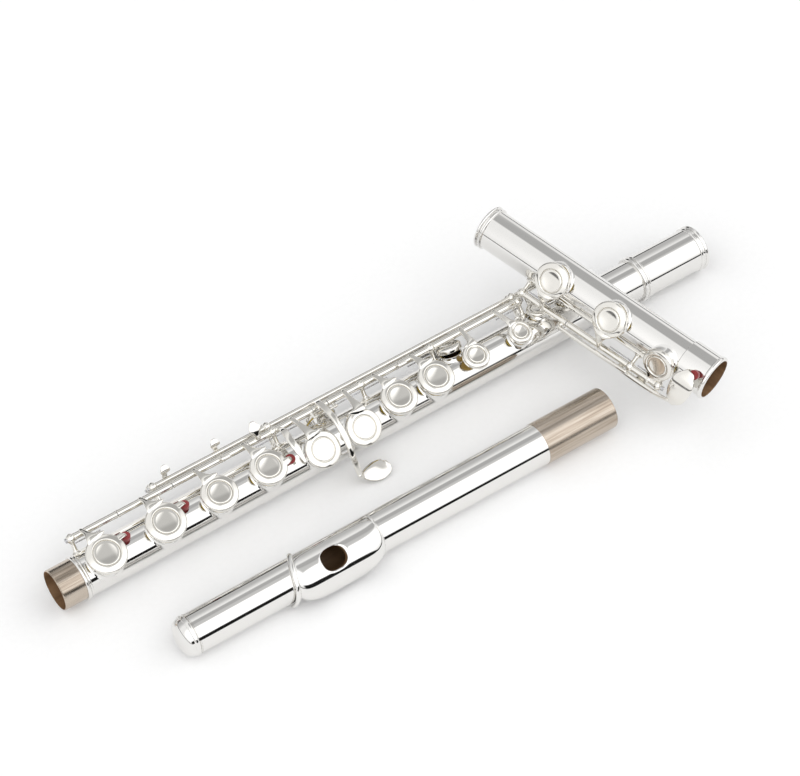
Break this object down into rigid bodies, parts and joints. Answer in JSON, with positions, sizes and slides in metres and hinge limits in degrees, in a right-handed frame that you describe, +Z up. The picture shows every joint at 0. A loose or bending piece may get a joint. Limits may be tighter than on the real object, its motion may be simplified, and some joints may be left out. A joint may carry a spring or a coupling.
{
  "type": "concert flute",
  "caption": "Boehm-system concert flute with a C foot, taken apart into head, body and foot, with sprung padded keys on posts and hinge steels.",
  "frame": {"origin": "centre of the footprint, on the surface that the taken-apart flute lies on", "axes": "+X along the body section from its tenon to its barrel, +Z up; the head lies in front of the body (-Y) and the foot lies across it"},
  "size_m": [0.3562, 0.1326, 0.0547],
  "materials": {
    "tube_silver": "polished silver plate",
    "key_silver": "polished silver plate on castings",
    "tenons": "satin bare nickel silver, burnished lengthwise",
    "steel": "ground steel rod",
    "pads": "golden bladder skin over felt",
    "felt": "dark red felt",
    "touch_felt": "golden felt",
    "cork": "natural cork"
  },
  "bodies": {
    "body_section": {"body_tube": "tube_silver", "body_tenon": "tenons", "shoulder_ring": "tube_silver", "barrel": "tube_silver", "ribs": "key_silver", "posts": "key_silver", "hinge_steels": "steel", "needle_springs": "steel"},
    "d_key": {"d_key": "key_silver", "d_pad": "pads", "d_felt": "felt"},
    "e_key": {"e_key": "key_silver", "e_pad": "pads", "e_felt": "felt"},
    "f_key": {"f_key": "key_silver", "f_pad": "pads"},
    "f_sharp_key": {"f_sharp_key": "key_silver", "f_sharp_pad": "pads", "f_sharp_felt": "felt"},
    "lower_g_key": {"lower_g_key": "key_silver", "lower_g_pad": "pads"},
    "upper_g_key": {"upper_g_key": "key_silver", "upper_g_pad": "pads"},
    "g_sharp_key": {"g_sharp_key": "key_silver", "g_sharp_pad": "pads"},
    "a_key": {"a_key": "key_silver", "a_pad": "pads"},
    "b_flat_key": {"b_flat_key": "key_silver", "b_flat_pad": "pads"},
    "b_flat_lever": {"b_flat_lever": "key_silver"},
    "c_key": {"c_key": "key_silver", "c_pad": "pads", "c_touch_felt": "touch_felt"},
    "thumb_key": {"thumb_key": "key_silver", "thumb_pad": "pads"},
    "d_trill_key": {"d_trill_key": "key_silver", "d_trill_pad": "pads"},
    "d_sharp_trill_key": {"d_sharp_trill_key": "key_silver", "d_sharp_trill_pad": "pads"},
    "head_section": {"head_tube": "tube_silver", "head_tenon": "tenons", "lip_riser": "tube_silver", "lip_plate": "tube_silver"},
    "crown": {"crown": "tube_silver"},
    "stopper": {"stopper_rod": "tube_silver", "stopper_cork": "cork"},
    "foot_section": {"foot_tube": "tube_silver", "foot_end_rings": "tube_silver", "foot_socket": "tube_silver", "foot_rib": "key_silver", "foot_posts": "key_silver", "foot_steel": "steel", "foot_springs": "steel"},
    "foot_c_key": {"foot_c_key": "key_silver", "foot_c_pad": "pads"},
    "foot_c_sharp_key": {"foot_c_sharp_key": "key_silver", "foot_c_sharp_pad": "pads", "foot_c_sharp_felt": "felt"},
    "foot_d_sharp_key": {"foot_d_sharp_key": "key_silver", "foot_d_sharp_pad": "pads"}
  },
  "joints": [
    {"name": "d_key_hinge", "type": "hinge", "parent": "body_section", "child": "d_key", "pos_m": [-0.15025, 0.02942, 0.02524], "axis": [1, 0, 0], "range_deg": [0, 6], "stiffness_Nm_per_rad": 0.02, "springref_deg": -12},
    {"name": "e_key_hinge", "type": "hinge", "parent": "body_section", "child": "e_key", "pos_m": [-0.1253, 0.02942, 0.02524], "axis": [1, 0, 0], "range_deg": [0, 6], "stiffness_Nm_per_rad": 0.02, "springref_deg": -12},
    {"name": "f_key_hinge", "type": "hinge", "parent": "body_section", "child": "f_key", "pos_m": [-0.0983, 0.02942, 0.02524], "axis": [1, 0, 0], "range_deg": [0, 6], "stiffness_Nm_per_rad": 0.02, "springref_deg": -12},
    {"name": "f_sharp_key_hinge", "type": "hinge", "parent": "body_section", "child": "f_sharp_key", "pos_m": [-0.07835, 0.02942, 0.02524], "axis": [1, 0, 0], "range_deg": [0, 6], "stiffness_Nm_per_rad": 0.02, "springref_deg": -12},
    {"name": "upper_g_key_hinge", "type": "hinge", "parent": "body_section", "child": "upper_g_key", "pos_m": [-0.02045, 0.02942, 0.02524], "axis": [1, 0, 0], "range_deg": [0, 6], "stiffness_Nm_per_rad": 0.02, "springref_deg": -12},
    {"name": "lower_g_key_hinge", "type": "hinge", "parent": "body_section", "child": "lower_g_key", "pos_m": [-0.04705, 0.02942, 0.02524], "axis": [1, 0, 0], "range_deg": [0, 6], "stiffness_Nm_per_rad": 0.02, "springref_deg": -12},
    {"name": "a_key_hinge", "type": "hinge", "parent": "body_section", "child": "a_key", "pos_m": [0.0004, 0.02942, 0.02524], "axis": [1, 0, 0], "range_deg": [0, 6], "stiffness_Nm_per_rad": 0.02, "springref_deg": -12},
    {"name": "b_flat_key_hinge", "type": "hinge", "parent": "body_section", "child": "b_flat_key", "pos_m": [0.0184, 0.02942, 0.02524], "axis": [1, 0, 0], "range_deg": [0, 6], "stiffness_Nm_per_rad": 0.02, "springref_deg": -12},
    {"name": "c_key_hinge", "type": "hinge", "parent": "body_section", "child": "c_key", "pos_m": [0.0533, 0.02942, 0.02524], "axis": [1, 0, 0], "range_deg": [0, 6], "stiffness_Nm_per_rad": 0.02, "springref_deg": -12},
    {"name": "b_flat_lever_hinge", "type": "hinge", "parent": "body_section", "child": "b_flat_lever", "pos_m": [-0.06555, 0.02942, 0.02524], "axis": [-1, 0, 0], "range_deg": [0, 6], "stiffness_Nm_per_rad": 0.02, "springref_deg": -12},
    {"name": "g_sharp_key_hinge", "type": "hinge", "parent": "body_section", "child": "g_sharp_key", "pos_m": [-0.03305, 0.02942, 0.02524], "axis": [1, 0, 0], "range_deg": [0, 7], "stiffness_Nm_per_rad": 0.02, "springref_deg": -12},
    {"name": "thumb_key_hinge", "type": "hinge", "parent": "body_section", "child": "thumb_key", "pos_m": [0.03635, 0.03096, 0.00531], "axis": [1, 0, 0], "range_deg": [0, 5.5], "stiffness_Nm_per_rad": 0.02, "springref_deg": -12},
    {"name": "d_trill_key_hinge", "type": "hinge", "parent": "body_section", "child": "d_trill_key", "pos_m": [-0.00815, 0.03422, 0.02372], "axis": [-1, 0, 0], "range_deg": [0, 5], "stiffness_Nm_per_rad": 0.02, "springref_deg": -12},
    {"name": "d_sharp_trill_key_hinge", "type": "hinge", "parent": "body_section", "child": "d_sharp_trill_key", "pos_m": [-0.00815, 0.03649, 0.02023], "axis": [-1, 0, 0], "range_deg": [0, 5], "stiffness_Nm_per_rad": 0.02, "springref_deg": -12},
    {"name": "foot_c_key_hinge", "type": "hinge", "parent": "foot_section", "child": "foot_c_key", "pos_m": [0.08319, 0.01477, 0.03063], "axis": [-0.2649, 0.9586, 0.1045], "range_deg": [0, 6], "stiffness_Nm_per_rad": 0.02, "springref_deg": -12},
    {"name": "foot_c_sharp_key_hinge", "type": "hinge", "parent": "foot_section", "child": "foot_c_sharp_key", "pos_m": [0.09141, -0.01495, 0.02739], "axis": [-0.2649, 0.9586, 0.1045], "range_deg": [0, 6], "stiffness_Nm_per_rad": 0.02, "springref_deg": -12},
    {"name": "foot_d_sharp_key_hinge", "type": "hinge", "parent": "foot_section", "child": "foot_d_sharp_key", "pos_m": [0.09829, -0.03988, 0.02467], "axis": [0.2649, -0.9586, -0.1045], "range_deg": [0, 8], "stiffness_Nm_per_rad": 0.02, "springref_deg": -12},
    {"name": "head_slide", "type": "slide", "parent": "body_section", "child": "head_section", "axis": [-1, 0.0082, 0], "range_m": [0, 0.06]},
    {"name": "foot_lift", "type": "slide", "parent": "body_section", "child": "foot_section", "axis": [0, 0, 1], "range_m": [0, 0.08]},
    {"name": "crown_turn", "type": "hinge", "parent": "head_section", "child": "crown", "pos_m": [-0.14138, -0.03353, 0.01007], "axis": [1, -0.0082, 0], "range_deg": [-721, 721]},
    {"name": "stopper_draw", "type": "slide", "parent": "head_section", "child": "stopper", "axis": [1, -0.0082, 0], "range_m": [-0.0014, 0.0014]}
  ],
  "couplings": [
    {"joint": "f_sharp_key_hinge", "follows": "f_key_hinge", "ratio": 1},
    {"joint": "lower_g_key_hinge", "follows": "upper_g_key_hinge", "ratio": 1},
    {"joint": "b_flat_key_hinge", "follows": "a_key_hinge", "ratio": 1},
    {"joint": "foot_c_sharp_key_hinge", "follows": "foot_c_key_hinge", "ratio": 1},
    {"joint": "crown_turn", "follows": "stopper_draw", "rad_per_m": 8976}
  ]
}
